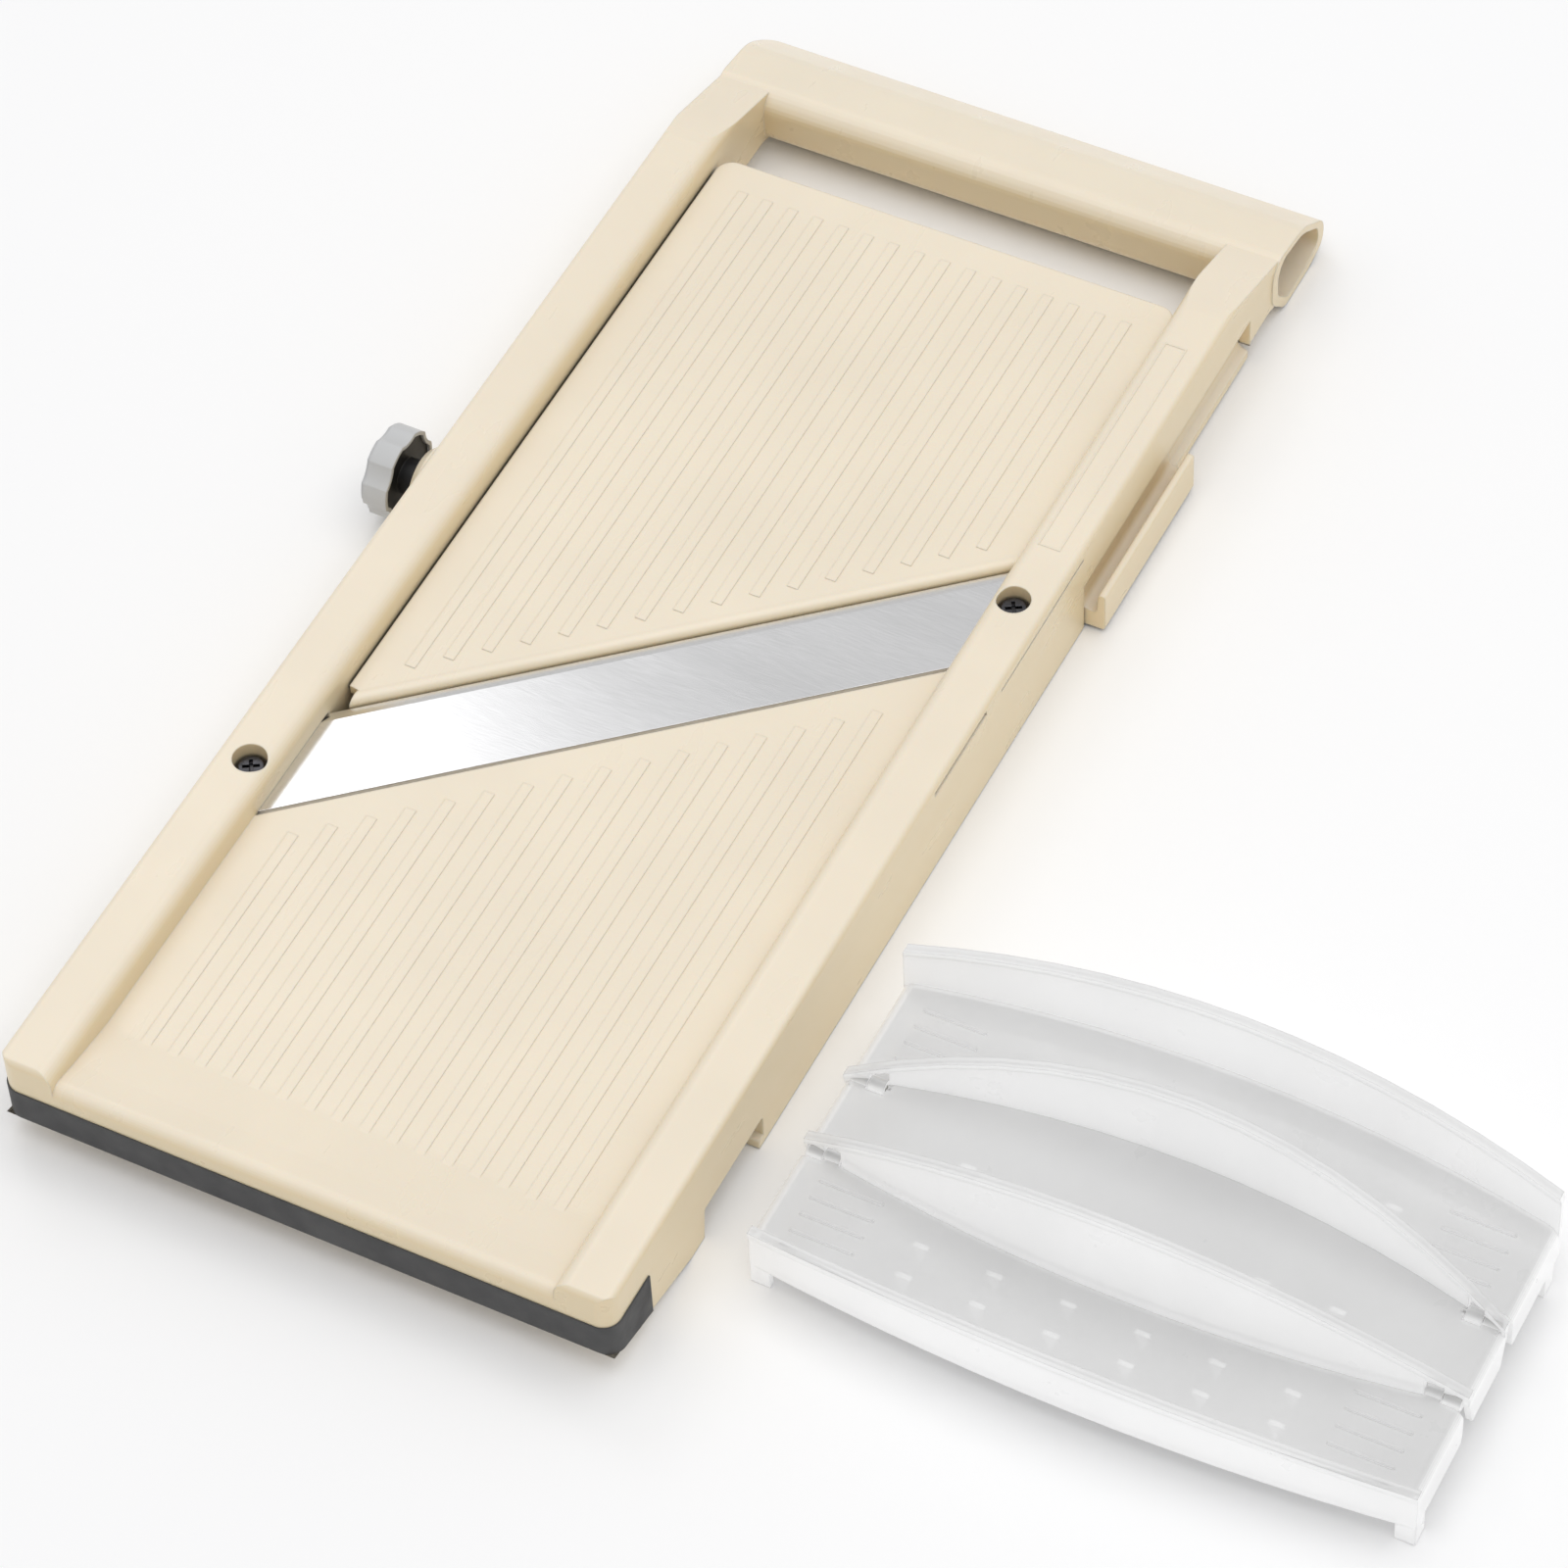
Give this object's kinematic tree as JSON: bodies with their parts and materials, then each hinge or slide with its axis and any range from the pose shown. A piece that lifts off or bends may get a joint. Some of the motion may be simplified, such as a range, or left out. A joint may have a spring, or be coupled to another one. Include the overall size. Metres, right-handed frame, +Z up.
{
  "type": "mandoline slicer",
  "caption": "Ivory plastic mandoline slicer with a diagonal steel blade, tilting table, side dial, blade drawer and a hinged clear hand guard.",
  "frame": {"origin": "middle of the flat heel strip under the front foot, in the resting plane", "axes": "+Z up, +Y from the front edge to the handle, +X to the drawer side"},
  "size_m": [0.3555, 0.3907, 0.044],
  "materials": {
    "ivory_plastic": "satin moulded ivory",
    "dark_rubber": "matt dark rubber",
    "blade_steel": "ground stainless",
    "screw_steel": "dark plated",
    "plain_steel": "plain turned",
    "grey_plastic": "satin grey",
    "black_plastic": "matt black",
    "nylon": "natural nylon",
    "milky_plastic": "milky translucent"
  },
  "bodies": {
    "slicer": {"frame": "ivory_plastic", "rubber_foot": "dark_rubber", "main_blade": "blade_steel", "blade_screws": "screw_steel", "blade_nuts": "plain_steel", "table_hinge_pins": "plain_steel", "shaft_bush": "nylon"},
    "table": {"adjust_table": "ivory_plastic"},
    "dial": {"thickness_knob": "grey_plastic", "knob_hub": "black_plastic", "knob_screw": "screw_steel", "dial_shaft": "plain_steel", "lift_cams": "nylon", "shaft_clip": "screw_steel"},
    "drawer": {"blade_drawer": "ivory_plastic", "comb_blade_coarse": "blade_steel", "comb_blade_medium": "blade_steel", "comb_blade_fine": "blade_steel"},
    "guard_grip": {"guard_grip_panel": "milky_plastic", "guard_front_hinge_pins": "nylon", "guard_rear_hinge_pins": "nylon"},
    "guard_front": {"guard_front_panel": "milky_plastic"},
    "guard_rear": {"guard_rear_panel": "milky_plastic"}
  },
  "joints": [
    {"name": "table_tilt", "type": "hinge", "parent": "slicer", "child": "table", "pos_m": [0, 0.288, 0.0164], "axis": [1, 0, 0], "range_deg": [0, 1.3]},
    {"name": "dial_spin", "type": "hinge", "parent": "slicer", "child": "dial", "pos_m": [-0.09, 0.169, 0.0135], "axis": [1, 0, 0], "range_deg": [0, 270]},
    {"name": "drawer_slide", "type": "slide", "parent": "slicer", "child": "drawer", "axis": [1, 0, 0], "range_m": [0, 0.09]},
    {"name": "guard_lift", "type": "slide", "parent": "slicer", "child": "guard_grip", "axis": [0, 0, 1], "range_m": [0, 0.08]},
    {"name": "guard_front_fold", "type": "hinge", "parent": "guard_grip", "child": "guard_front", "pos_m": [0.177, 0.025, 0.0172], "axis": [1, 0, 0], "range_deg": [0, 12]},
    {"name": "guard_rear_fold", "type": "hinge", "parent": "guard_grip", "child": "guard_rear", "pos_m": [0.177, 0.0475, 0.0172], "axis": [-1, 0, 0], "range_deg": [0, 12]}
  ],
  "couplings": [
    {"joint": "dial_spin", "follows": "table_tilt", "ratio": 207.69}
  ]
}
